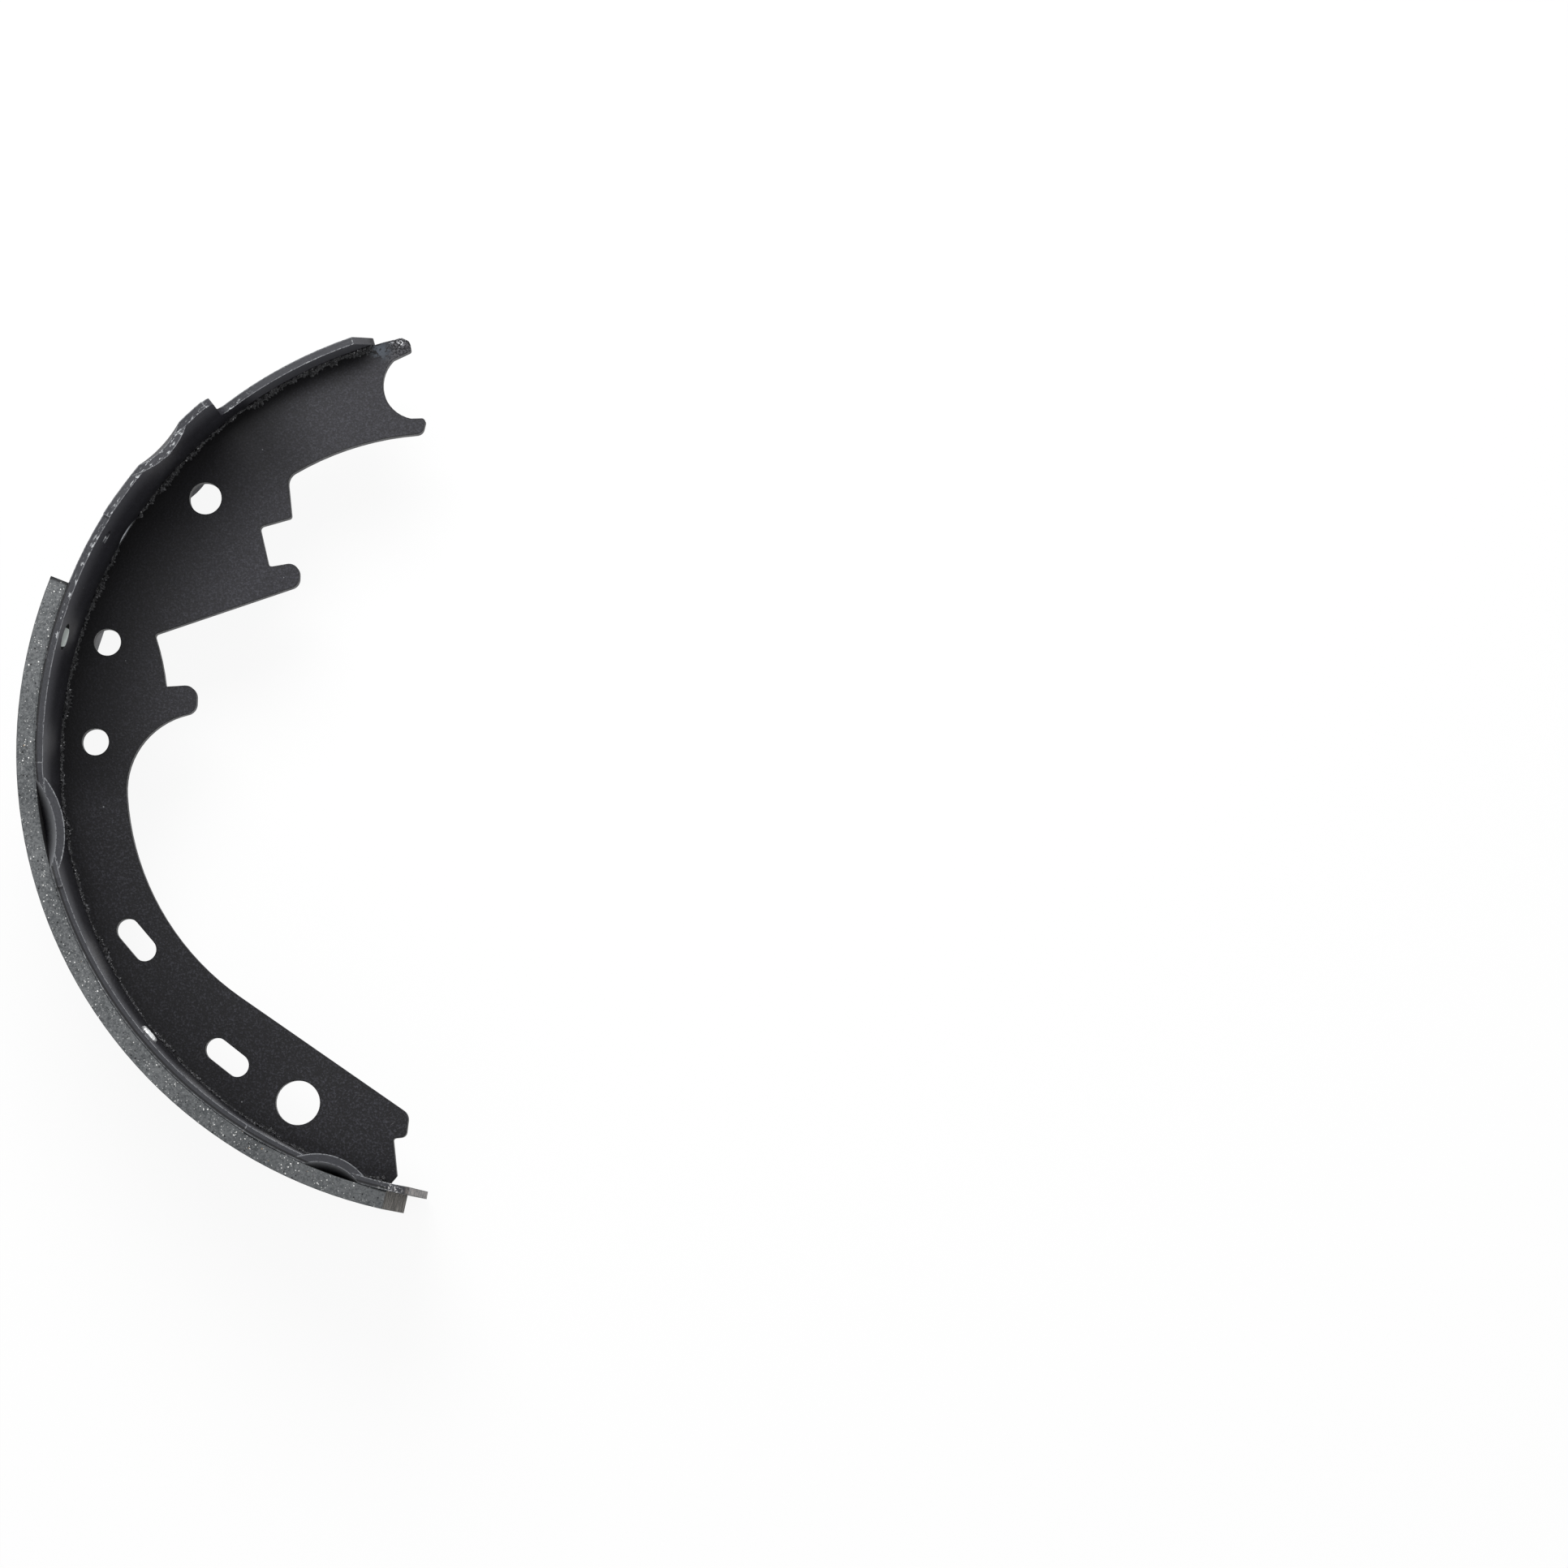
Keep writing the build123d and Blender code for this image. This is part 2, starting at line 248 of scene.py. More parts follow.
class Graph:
    """Short words for building the nodes of one material, or of the world."""

    def __init__(self, owner: bpy.types.Material | bpy.types.World) -> None:
        """Empties the nodes and adds an output.

        Args:
            owner: The material or the world.
        """
        kind = "World" if isinstance(owner, bpy.types.World) else "Material"
        self.owner = owner
        self.owner.use_nodes = True
        self.tree = self.owner.node_tree
        self.tree.nodes.clear()
        self.output = self.node("ShaderNodeOutput" + kind)
        self.body: Paint = (0.0, 0.0, 0.0)

    def node(
        self, kind: str, inputs: dict[int | str, object] | None = None, **properties: object
    ) -> bpy.types.Node:
        """Adds a node.

        Args:
            kind: Its type.
            inputs: Links or plain values, by the name or the number of the input.
            properties: Its settings.

        Returns:
            The node.
        """
        made = self.tree.nodes.new(kind)
        for key, value in properties.items():
            setattr(made, key, value)
        for key, value in (inputs or {}).items():
            self.feed(made.inputs[key], value)
        return made

    def feed(self, socket: Socket, value: object) -> None:
        """Links a socket to another one, or sets its value.

        Args:
            socket: The input.
            value: An output to link, or a plain value.
        """
        if isinstance(value, Socket):
            self.tree.links.new(value, socket)
        elif socket.type == "RGBA" and len(value) == 3:
            socket.default_value = (*value, 1.0)
        else:
            socket.default_value = value

    def math(self, operation: str, *values: Value, clamp: bool = False) -> Socket:
        """Sum, product or other operation on numbers."""
        made = self.node("ShaderNodeMath", dict(enumerate(values)), operation=operation, use_clamp=clamp)
        return made.outputs[0]

    def times(self, *values: Value) -> Socket:
        """Product of any number of values."""
        return reduce(lambda total, value: self.math("MULTIPLY", total, value), values)

    def largest(self, *values: Value) -> Socket:
        """Largest of any number of values."""
        return reduce(lambda total, value: self.math("MAXIMUM", total, value), values)

    def vector(self, operation: str, *values: object) -> bpy.types.Node:
        """Operation on vectors, as the node itself, since some give a number."""
        return self.node("ShaderNodeVectorMath", dict(enumerate(values)), operation=operation)

    def part(self, vector: Socket, axis: Axis) -> Socket:
        """One part of a vector."""
        return self.node("ShaderNodeSeparateXYZ", {0: vector}).outputs[axis.value]

    def join(self, x: Value, y: Value, z: Value) -> Socket:
        """Vector made of three numbers."""
        return self.node("ShaderNodeCombineXYZ", {0: x, 1: y, 2: z}).outputs[0]

    def stretched(self, vector: Socket, lengths: Sequence[float], turn: float = 0.0) -> Socket:
        """Vector in which a pattern is turned and drawn out.

        Args:
            vector: Where the pattern is read.
            lengths: How many times longer it becomes along each part of the vector.
            turn: The turn about Z that comes first, in degrees.

        Returns:
            The vector to read the pattern with.
        """
        inputs = {"Vector": vector, "Rotation": (0.0, 0.0, math.radians(turn))}
        turned = self.node("ShaderNodeMapping", inputs, vector_type="POINT").outputs[0]
        return self.vector("MULTIPLY", turned, tuple(1.0 / length for length in lengths)).outputs[0]

    def noise(self, vector: Socket, grain: float, detail: float = 2.0, rough: float = 0.5) -> Socket:
        """Cloudy noise from 0 to 1, of a grain size, a number of finer layers and their strength."""
        inputs = {"Vector": vector, "Scale": 1.0 / grain, "Detail": detail, "Roughness": rough}
        return self.node("ShaderNodeTexNoise", inputs).outputs[0]

    def grains(self, vector: Socket, grains: Grains) -> Socket:
        """Mask that is 1 inside a grain and 0 outside.

        Args:
            vector: Where they are read.
            grains: Their sizes.

        Returns:
            The mask.
        """
        cells = self.node("ShaderNodeTexVoronoi", {"Vector": vector, "Scale": 1.0 / grains.spacing})
        chance, bulk = (self.part(cells.outputs["Color"], axis) for axis in (Axis.X, Axis.Y))
        reach = self.math("MULTIPLY_ADD", bulk, grains.size * 0.7, grains.size * 0.3)
        inside = self.step(self.math("DIVIDE", cells.outputs["Distance"], reach), 1.0, 0.75)
        return self.times(self.math("LESS_THAN", chance, grains.share), inside)

    def step(self, value: Value, low: float, high: float) -> Socket:
        """Smooth step from 0 at low to 1 at high."""
        inputs = {"Value": value, "From Min": low, "From Max": high}
        return self.node("ShaderNodeMapRange", inputs, interpolation_type="SMOOTHSTEP").outputs[0]

    def within(self, value: Value, low: float, high: float, soft: float) -> Socket:
        """Mask that is 1 from low to high and fades to 0 over a soft border outside them."""
        rise = self.step(value, low - soft, low)
        return self.times(rise, self.step(value, high + soft, high))

    def near(self, centre: Vector, reach: float, soft: float) -> Socket:
        """Ball-shaped mask, 1 at its centre and 0 beyond its reach."""
        away = self.vector("DISTANCE", self.place(), tuple(centre)).outputs["Value"]
        return self.step(away, reach, reach * (1.0 - soft))

    def blend(self, share: Value, a: Paint, b: Paint) -> Socket:
        """Colour between a and b."""
        return self.node("ShaderNodeMix", {0: share, 6: a, 7: b}, data_type="RGBA").outputs[2]

    def between(self, share: Value, a: Value, b: Value) -> Socket:
        """Number between a and b."""
        return self.node("ShaderNodeMix", {0: share, 2: a, 3: b}, data_type="FLOAT").outputs[0]

    def cover(self, share: Value, paint: Paint) -> None:
        """Lays a paint over the body colour."""
        self.body = self.blend(share, self.body, paint)

    def place(self) -> Socket:
        """Place of a surface point in the frame of the model."""
        return self.node("ShaderNodeTexCoord").outputs["Object"]

    def normal(self) -> Socket:
        """Direction that the surface faces."""
        return self.node("ShaderNodeNewGeometry").outputs["Normal"]

    def edges(self, radius: float, samples: int = 6) -> tuple[Socket, Socket]:
        """Rounded normal of the edges, and how far each point is turned by it.

        Args:
            radius: Radius of the rounding, in metres.
            samples: Rays that look for an edge.

        Returns:
            The normal, and a mask that is 0 on flats and about 0.3 on a square edge.
        """
        rounded = self.node("ShaderNodeBevel", {"Radius": radius}, samples=samples).outputs[0]
        same = self.vector("DOT_PRODUCT", rounded, self.normal()).outputs["Value"]
        return rounded, self.math("SUBTRACT", 1.0, same, clamp=True)

    def from_axis(self, drum: Drum) -> Socket:
        """Place of a surface point, counted from the drum axis and the middle of the width."""
        return self.vector("SUBTRACT", self.place(), (drum.axis_x, drum.axis_y, drum.middle)).outputs[0]

    def polar(self, drum: Drum) -> Socket:
        """Place as arc length, radius and height about the drum axis, in metres.

        Args:
            drum: The drum.

        Returns:
            The place.
        """
        local = self.from_axis(drum)
        x, y, z = (self.part(local, axis) for axis in Axis)
        bearing = self.math("ARCTAN2", y, self.times(x, -1.0))
        radius = self.math("SQRT", self.math("ADD", self.times(x, x), self.times(y, y)))
        return self.join(self.times(bearing, drum.radius), radius, z)

    def facing(self, direction: Socket) -> Socket:
        """How far the surface faces a direction, from -1 to 1."""
        unit = self.vector("NORMALIZE", direction).outputs[0]
        return self.vector("DOT_PRODUCT", unit, self.normal()).outputs["Value"]

    def end_faces(self, drum: Drum) -> Socket:
        """How far the surface faces round the drum: 1 on the ends of the shoe's strips."""
        round_drum = self.vector("CROSS_PRODUCT", self.from_axis(drum), (0.0, 0.0, 1.0)).outputs[0]
        return self.math("ABSOLUTE", self.facing(round_drum))

    def outward(self, drum: Drum) -> Socket:
        """How far the surface faces away from the drum axis, from -1 to 1."""
        flat = self.vector("MULTIPLY", self.from_axis(drum), (1.0, 1.0, 0.0)).outputs[0]
        return self.facing(flat)

    def bump(self, height: Value, depth: float, normal: Socket) -> Socket:
        """Normal disturbed by a height from 0 to 1 that stands for a depth in metres."""
        inputs = {"Distance": depth, "Height": height, "Normal": normal}
        return self.node("ShaderNodeBump", inputs).outputs[0]

    def seen(self) -> Socket:
        """1 for rays of the camera, of gloss and of glass, and 0 for rays that light the shoe."""
        rays = self.node("ShaderNodeLightPath").outputs
        return self.largest(*(rays[name] for name in SEEN_RAYS))

    def end(self, shader: bpy.types.Node) -> None:
        """Links a shader to the output."""
        self.feed(self.output.inputs["Surface"], shader.outputs[0])

    def surface(self, **sockets: object) -> bpy.types.Material:
        """Ends the material with one shader whose sockets are given by name.

        Args:
            sockets: Values or links, named with underscores for spaces.

        Returns:
            The finished material.
        """
        inputs = {key.replace("_", " "): value for key, value in sockets.items()}
        self.end(self.node("ShaderNodeBsdfPrincipled", inputs))
        return self.owner


@dataclass(frozen=True)
class Spot:
    """A small place where a finish differs from the rest of its surface.

    The depth of its middle counts inwards from the inner face of the table.
    """

    depth: float
    bearing: float
    height: float
    reach: float
    colour: Colour
    cover: float
    metal: float = 0.0
    soft: float = 0.8
    grain: float = 0.95 * MM
    stretch: float = 1.0
    turn: float = 0.0

    def centre(self, drum: Drum) -> Vector:
        """Middle of the spot in the frame of the model."""
        return drum.point(drum.table_inner - self.depth, self.bearing, self.height)


@dataclass(frozen=True)
class ShoeCoat:
    """Thin satin coat on stamped steel, rubbed through at the edges.

    A pair called rise holds distances from the middle of the width, a pair called depth
    holds depths inside the table's inner face, and a pair called range holds bearings.
    """

    name: str = "shoe_coat_finish"
    deep: Colour = (0.0050, 0.0048, 0.0066)
    light: Colour = (0.0158, 0.0154, 0.0204)
    haze: Colour = (0.0570, 0.0570, 0.0700)
    soot: Colour = (0.0018, 0.0018, 0.0022)
    mote: Colour = (0.34, 0.35, 0.37)
    steel: Colour = (0.46, 0.46, 0.46)
    chalk: Colour = (0.62, 0.64, 0.66)
    sheared: Colour = (0.036, 0.038, 0.044)
    # grey of the painted light on the nib slopes and of the painted highlight on the rim's edges
    painted_light_grey: Colour = (0.340, 0.350, 0.370)
    # colour of the painted light near the rims and on the tongue
    pale: Colour = (0.110, 0.112, 0.126)
    dust: Colour = (0.165, 0.171, 0.177)
    bare_end: Colour = (0.250, 0.222, 0.210)
    speckle: float = 0.80
    # strength of the painted shade in the corner along the seam
    seam_shade: float = 0.95
    # strength of the painted shadow that the table casts on the web
    table_shadow: float = 0.0
    motes: Grains = Grains(3.2 * MM, 0.27 / 3.2, 0.10)
    rim_share: float = 0.0
    end_share: float = 0.0
    # share of painted light near the rims
    brim_light: float = 0.0
    # share of painted light on the shaded outer slope of the pressed nibs
    pocket_light: float = 0.0
    # share of painted light on the tongue
    tongue: float = 0.0
    # share of the painted shade of the gap between rim and lining
    gap_line: float = 0.0
    # share of the dark outline of painted shade at the plate's edges
    outline_shade: float = 0.0
    wear: float = 0.5
    patch: float = 26.0 * MM
    wear_patch: float = 9.0 * MM
    grain: float = 0.62 * MM
    chip: float = 0.85 * MM
    fleck: float = 0.80 * MM
    edge: float = 0.30 * MM
    line: float = 0.75 * MM
    crest: float = 0.46 * MM
    relief: float = 0.055 * MM
    gap_inset: float = 0.70 * MM
    gap_inset_upper: float = 0.22 * MM
    gap_half: float = 0.25 * MM
    gap_soft: float = 0.10 * MM
    brim_rise: Range = (18.0 * MM, 38.0 * MM)
    tongue_rise: Range = (2.4 * MM, 4.2 * MM)
    pocket_rise: Range = (31.5 * MM, 38.6 * MM)
    seam_rise: Range = (13.0 * MM, 2.2 * MM)
    seam_depth: Range = (9.0 * MM, 0.4 * MM)
    # depths over which the table's painted shadow fades
    table_shadow_depth: Range = (42.0 * MM, 10.0 * MM)
    rub_depth: Range = (-1.5 * MM, -0.6 * MM)
    # bearings over which the coat's painted light rises towards the anchor end
    upper_range: Range = (-62.0, 74.0)
    tongue_range: Range = (54.5, 57.5)
    thick_range: Range = (0.0, 53.0)
    thin_range: Range = (-50.0, 50.0)
    gap_range: Range = (-8.0, 2.0)
    rub_range: Range = (16.0, 53.0)

    def build(self, drum: Drum, spots: Sequence[Spot] = ()) -> bpy.types.Material:
        """Makes the material.

        Args:
            drum: The drum, for directions round the shoe.
            spots: Places where the coat is chipped, chalky or hazy.

        Returns:
            The material.
        """
        g = Graph(bpy.data.materials.new(self.name))
        place, polar = g.place(), g.polar(drum)
        arc, radius, height = (g.part(polar, axis) for axis in Axis)
        rise = g.math("ABSOLUTE", height)
        facing = g.math("ABSOLUTE", g.part(g.normal(), Axis.Z))
        outward = g.outward(drum)
        cloud = g.noise(place, self.patch, 3.0)
        fine = g.noise(place, self.grain, 2.0, 0.7)
        chip = g.noise(place, self.chip, 3.0, 0.72)
        # the film is cloudy, and painted light makes it lighter towards the anchor end, where the soft
        # lamp's reflection falls
        upper = g.step(arc, *drum.arcs(self.upper_range))
        film = g.math("MULTIPLY_ADD", upper, 0.60, g.times(cloud, 0.55))
        g.body = g.blend(g.step(film, 0.20, 1.00), self.deep, self.light)
        g.cover(g.times(g.step(fine, 0.47, 0.72), self.speckle), self.haze)
        g.cover(g.times(g.step(fine, 0.47, 0.28), self.speckle), self.soot)
        g.cover(g.grains(place, self.motes), self.mote)
        # painted light: the coat is made paler near the rims, on the tongue, and on the outer slope of
        # the pressed nibs, where shade falls
        lifted_shade = g.times(g.step(rise, *self.brim_rise), g.between(upper, 1.0, 0.65), self.brim_light)
        tongue = g.times(g.step(arc, *drum.arcs(self.tongue_range)), self.tongue)
        lifted_shade = g.largest(lifted_shade, g.times(tongue, g.step(rise, *self.tongue_rise)))
        g.cover(g.times(lifted_shade, g.step(outward, 0.2, -0.2)), self.pale)
        lining = g.within(arc, *drum.arcs(drum.lining_ends), 0.4 * MM)
        pressed = g.times(g.step(outward, 0.30, 0.60), g.step(rise, *self.pocket_rise), lining)
        g.cover(g.times(pressed, self.pocket_light), self.painted_light_grey)
        # painted shade in the corner along the welded seam
        seam = g.times(
            g.step(radius, *drum.inside(self.seam_depth)),
            g.step(rise, *self.seam_rise),
            g.between(upper, self.seam_shade * 0.35, self.seam_shade),
            g.math("SUBTRACT", 1.0, tongue),
        )
        g.cover(seam, self.soot)
        # painted shadow of the table on the web beside the seam, deepest below the table's bare stretch
        thick = g.within(arc, *drum.arcs(self.thick_range), 30.0 * MM)
        thin = g.within(arc, *drum.arcs(self.thin_range), 28.0 * MM)
        beside = g.step(radius, *drum.inside(self.table_shadow_depth))
        table_shadow = g.times(beside, g.largest(thick, g.times(thin, 0.45)), self.table_shadow)
        g.cover(table_shadow, self.soot)
        # edges: painted shade as a dark outline on the plate; on the sheared rim of the strip, its
        # streaks and bright lines of painted highlight broken into chips
        rounded, turned = g.edges(self.edge)
        line = g.step(g.edges(self.line)[1], 0.003, 0.060)
        g.cover(g.times(line, self.outline_shade), self.soot)
        rim = g.times(g.step(facing, 0.70, 0.95), self.rim_share)
        streak = g.noise(g.stretched(polar, (3.5, 0.5, 3.5)), 1.0 * MM, 3.0, 0.65)
        crest = g.step(g.edges(self.crest)[1], 0.001, 0.020)
        g.cover(g.times(rim, g.step(streak, 0.25, 0.70)), self.sheared)
        g.cover(g.times(rim, crest, g.step(chip, 0.36, 0.52)), self.painted_light_grey)
        # along the lining the rim shows painted shade as a dark gap line, and dust beyond it
        gap = g.between(
            g.step(arc, *drum.arcs(self.gap_range)),
            drum.table_outer - self.gap_inset,
            drum.table_outer - self.gap_inset_upper,
        )
        beyond = g.math("SUBTRACT", radius, gap)
        joint = g.times(rim, lining, self.gap_line)
        dusty = g.blend(g.step(chip, 0.30, 0.70), self.sheared, self.dust)
        g.cover(g.times(joint, g.step(beyond, 0.0, self.gap_soft)), dusty)
        gap_shade = g.within(beyond, -self.gap_half, self.gap_half, self.gap_soft)
        g.cover(g.times(joint, gap_shade), self.soot)
        # the square end of the strip is bare and streaked by the shear
        lower = g.step(arc, 0.0, -1.0 * MM)
        end = g.times(g.step(g.end_faces(drum), 0.70, 0.92), self.end_share, lower)
        torn = g.noise(g.stretched(polar, (1.0, 2.0, 3.5)), 1.0 * MM, 3.0, 0.75)
        g.cover(end, g.blend(g.step(torn, 0.42, 0.58), self.sheared, self.bare_end))
        g.cover(g.times(end, crest, 0.8), self.soot)
        # chalky flecks on the rim, most of them along the table's bare stretch
        patches = g.step(g.noise(place, self.wear_patch, 2.0), 0.60 - 0.25 * self.wear, 0.70)
        rubbed = g.within(arc, *drum.arcs(self.rub_range), 12.0 * MM)
        drawn = g.step(g.noise(g.stretched(polar, (2.4, 1.0, 1.0)), self.fleck, 3.0, 0.72), 0.56, 0.61)
        inner = g.step(radius, *drum.inside(self.rub_depth))
        flecks = g.times(rim, drawn, g.between(rubbed, g.times(patches, line), 0.9))
        g.cover(g.times(flecks, g.between(rubbed, 1.0, inner)), self.chalk)
        # bare steel where the edges are rubbed through, and the spots
        worn = g.step(chip, 0.63 - 0.14 * self.wear, 0.72)
        bare = g.times(g.step(turned, 0.03, 0.16), worn, patches)
        metal = g.times(bare, 0.9)
        g.cover(bare, self.steel)
        for spot in spots:
            low = 0.62 - 0.5 * spot.cover
            pattern = g.stretched(place, (spot.stretch, 1.0, 1.0), spot.turn)
            broken = g.step(g.noise(pattern, spot.grain, 3.0, 0.8), low, low + 0.08)
            mask = g.times(g.near(spot.centre(drum), spot.reach, spot.soft), broken)
            g.cover(mask, spot.colour)
            metal, bare = (g.largest(share, g.times(mask, spot.metal)) for share in (metal, bare))
        relief = g.math("SUBTRACT", fine, g.times(bare, 0.35))
        return g.surface(
            Base_Color=g.body,
            Metallic=metal,
            Roughness=g.between(bare, g.math("MULTIPLY_ADD", cloud, 0.14, 0.42), 0.32),
            Specular_IOR_Level=g.between(g.largest(seam, table_shadow), 0.275, 0.10),
            Normal=g.bump(relief, self.relief, rounded),
        )


@dataclass(frozen=True)
class FrictionCompound:
    """Moulded friction material with metal flecks, ground on its faces and sawn at its ends."""

    name: str = "friction_finish"
    dark: Colour = (0.058, 0.063, 0.067)
    light: Colour = (0.215, 0.224, 0.230)
    fleck: Colour = (0.90, 0.90, 0.88)
    bronze: Colour = (0.36, 0.27, 0.17)
    pit: Colour = (0.010, 0.010, 0.011)
    sawn_dark: Colour = (0.040, 0.037, 0.034)
    sawn_light: Colour = (0.330, 0.312, 0.285)
    # painted light on the walls of the open holes
    hole_light: Colour = (0.80, 0.84, 0.82)
    flecks: Grains = Grains(0.95 * MM, 0.28, 0.60)
    shards: Grains = Grains(1.70 * MM, 0.20, 0.34)
    powder: Grains = Grains(0.55 * MM, 0.34, 0.26)
    brassy: Grains = Grains(1.90 * MM, 0.18, 0.07)
    pits: Grains = Grains(1.15 * MM, 0.30, 0.34)
    cloud: float = 14.0 * MM
    grain: float = 0.75 * MM
    crowd: float = 6.0 * MM
    edge: float = 0.40 * MM
    relief: float = 0.10 * MM
    hole_light_radius: float = 4.7 * MM
    dark_from: float = -35.0
    side_turns: Range = (52.0, -50.0)

    def build(self, drum: Drum, open_holes: Sequence[Vector] = ()) -> bpy.types.Material:
        """Makes the material.

        Args:
            drum: The drum, for directions round the shoe.
            open_holes: Middles of the holes without a rivet, on the table's outer face.

        Returns:
            The material.
        """
        g = Graph(bpy.data.materials.new(self.name))
        place, polar = g.place(), g.polar(drum)
        arc, radius = (g.part(polar, axis) for axis in (Axis.X, Axis.Y))
        foot, top = drum.arcs(drum.lining_ends)
        rounded, turned = g.edges(self.edge)
        cloud = g.noise(place, self.cloud, 3.0)
        grain = g.noise(place, self.grain, 3.0, 0.75)
        side = g.step(g.math("ABSOLUTE", g.part(g.normal(), Axis.Z)), 0.6, 0.9)
        end = g.step(g.end_faces(drum), 0.55, 0.85)
        mottle = g.math("ADD", g.times(cloud, 0.25), g.times(grain, 0.75))
        g.body = g.blend(g.step(mottle, 0.32, 0.68), self.dark, self.light)
        # the sides are ground both ways aslant, and the friction face straight across
        lean, cross = (
            g.noise(g.stretched(polar, (3.2, 0.42, 3.2), turn), 1.0 * MM, 2.0, 0.6)
            for turn in self.side_turns
        )
        across = g.noise(g.stretched(polar, (0.40, 1.0, 18.0)), 1.0 * MM, 2.0)
        marks = g.between(side, across, g.largest(lean, g.times(cross, 0.95)))
        g.cover(g.times(g.step(marks, 0.55, 0.72), 0.50), self.light)
        g.cover(g.times(g.step(marks, 0.46, 0.30), 0.55), self.dark)
        g.cover(g.times(g.step(arc, drum.arc(self.dark_from), foot), 0.30), self.dark)
        # pits, and grains of metal that lie in crowds
        crowd = g.step(g.noise(place, self.crowd, 2.0), 0.34, 0.62)
        shards = g.grains(g.stretched(place, (1.0, 1 / 1.7, 1.0), 30.0), self.shards)
        crowded = g.times(g.largest(g.grains(place, self.flecks), shards), crowd)
        bright = g.largest(crowded, g.times(g.grains(place, self.powder), 0.55))
        pits = g.grains(place, self.pits)
        g.cover(g.times(pits, 0.85), self.pit)
        g.cover(g.times(g.grains(place, self.brassy), 0.8), self.bronze)
        g.cover(bright, self.fleck)
        # the ends show torn layers, and the upper one has a dark ragged border
        layers = g.noise(g.stretched(polar, (1.0, 4.0, 1.3)), 1.0 * MM, 4.0, 0.8)
        g.cover(end, g.blend(g.step(layers, 0.43, 0.59), self.sawn_dark, self.sawn_light))
        ragged_arc = g.math("ADD", arc, g.times(g.math("SUBTRACT", grain, 0.5), 1.6 * MM))
        g.cover(g.times(g.step(ragged_arc, top - 1.3 * MM, top - 0.5 * MM), 0.85), self.pit)
        # the edges are chipped, painted shade darkens the gap above the table, and open holes get a
        # bright patch of painted light
        chipped = g.times(g.step(turned, 0.02, 0.14), g.step(grain, 0.30, 0.52))
        g.cover(g.times(chipped, 0.75), self.pit)
        gap = g.step(radius, drum.table_outer + 0.16 * MM, drum.table_outer + 0.06 * MM)
        g.cover(g.times(gap, g.math("SUBTRACT", 1.0, end)), self.pit)
        for hole in open_holes:
            g.cover(g.near(hole, self.hole_light_radius, 0.15), self.hole_light)
        relief = g.math("ADD", g.times(grain, 0.6), g.times(marks, 0.5))
        relief = g.math("SUBTRACT", relief, g.math("ADD", g.times(pits, 0.8), g.times(chipped, 0.5)))
        relief = g.math("ADD", relief, g.times(layers, end))
        return g.surface(
            Base_Color=g.body,
            Metallic=g.times(bright, 0.35),
            Roughness=g.between(bright, 0.82, 0.45),
            Specular_IOR_Level=0.30,
            Normal=g.bump(relief, self.relief, rounded),
        )


@dataclass(frozen=True)
class Bond:
    """Pale crumbly bond, squeezed out from under the lining."""

    name: str = "bond_finish"
    dark: Colour = (0.060, 0.060, 0.062)
    pale: Colour = (0.55, 0.54, 0.51)
    grain: float = 0.9 * MM
    relief: float = 0.12 * MM

    def build(self) -> bpy.types.Material:
        """Makes the material.

        Returns:
            The material.
        """
        g = Graph(bpy.data.materials.new(self.name))
        chalk = g.noise(g.place(), self.grain, 3.0, 0.7)
        return g.surface(
            Base_Color=g.blend(g.step(chalk, 0.35, 0.62), self.dark, self.pale),
            Roughness=0.85,
            Normal=g.bump(chalk, self.relief, g.normal()),
        )


@dataclass(frozen=True)
class RivetPlate:
    """Plated rivet steel with a bluish film, scuffed by the setting tool."""

    name: str = "rivet_plate_finish"
    film: Colour = (0.33, 0.37, 0.39)
    silver: Colour = (0.80, 0.81, 0.81)
    grime: Colour = (0.055, 0.058, 0.060)
    metal: float = 0.95
    grime_share: float = 0.5
    cloud: float = 2.4 * MM
    grain: float = 0.25 * MM
    edge: float = 0.18 * MM
    relief: float = 0.05 * MM

    def build(self) -> bpy.types.Material:
        """Makes the material.

        Returns:
            The material.
        """
        g = Graph(bpy.data.materials.new(self.name))
        place = g.place()
        rounded, turned = g.edges(self.edge)
        cloud = g.noise(place, self.cloud, 3.0, 0.6)
        fine = g.noise(place, self.grain, 2.0, 0.6)
        g.body = g.blend(g.step(cloud, 0.38, 0.62), self.film, self.silver)
        g.cover(g.step(turned, 0.05, 0.22), self.silver)
        g.cover(g.times(g.step(fine, 0.60, 0.72), self.grime_share), self.grime)
        return g.surface(
            Base_Color=g.body,
            Metallic=self.metal,
            Roughness=g.math("MULTIPLY_ADD", cloud, 0.25, 0.20),
            Normal=g.bump(g.math("ADD", cloud, g.times(fine, 0.3)), self.relief, rounded),
        )


RIVET_ROWS = (
    RivetPlate(
        name="rivet_teal_finish",
        film=(0.022, 0.060, 0.070),
        silver=(0.060, 0.105, 0.115),
        grime=(0.010, 0.012, 0.013),
        metal=0.6,
    ),
    RivetPlate(
        name="rivet_silver_finish",
        film=(0.74, 0.76, 0.77),
        silver=(0.90, 0.91, 0.91),
        metal=0.6,
        grime_share=0.15,
    ),
    RivetPlate(name="rivet_dull_finish", film=(0.16, 0.17, 0.18), silver=(0.42, 0.43, 0.43)),
)


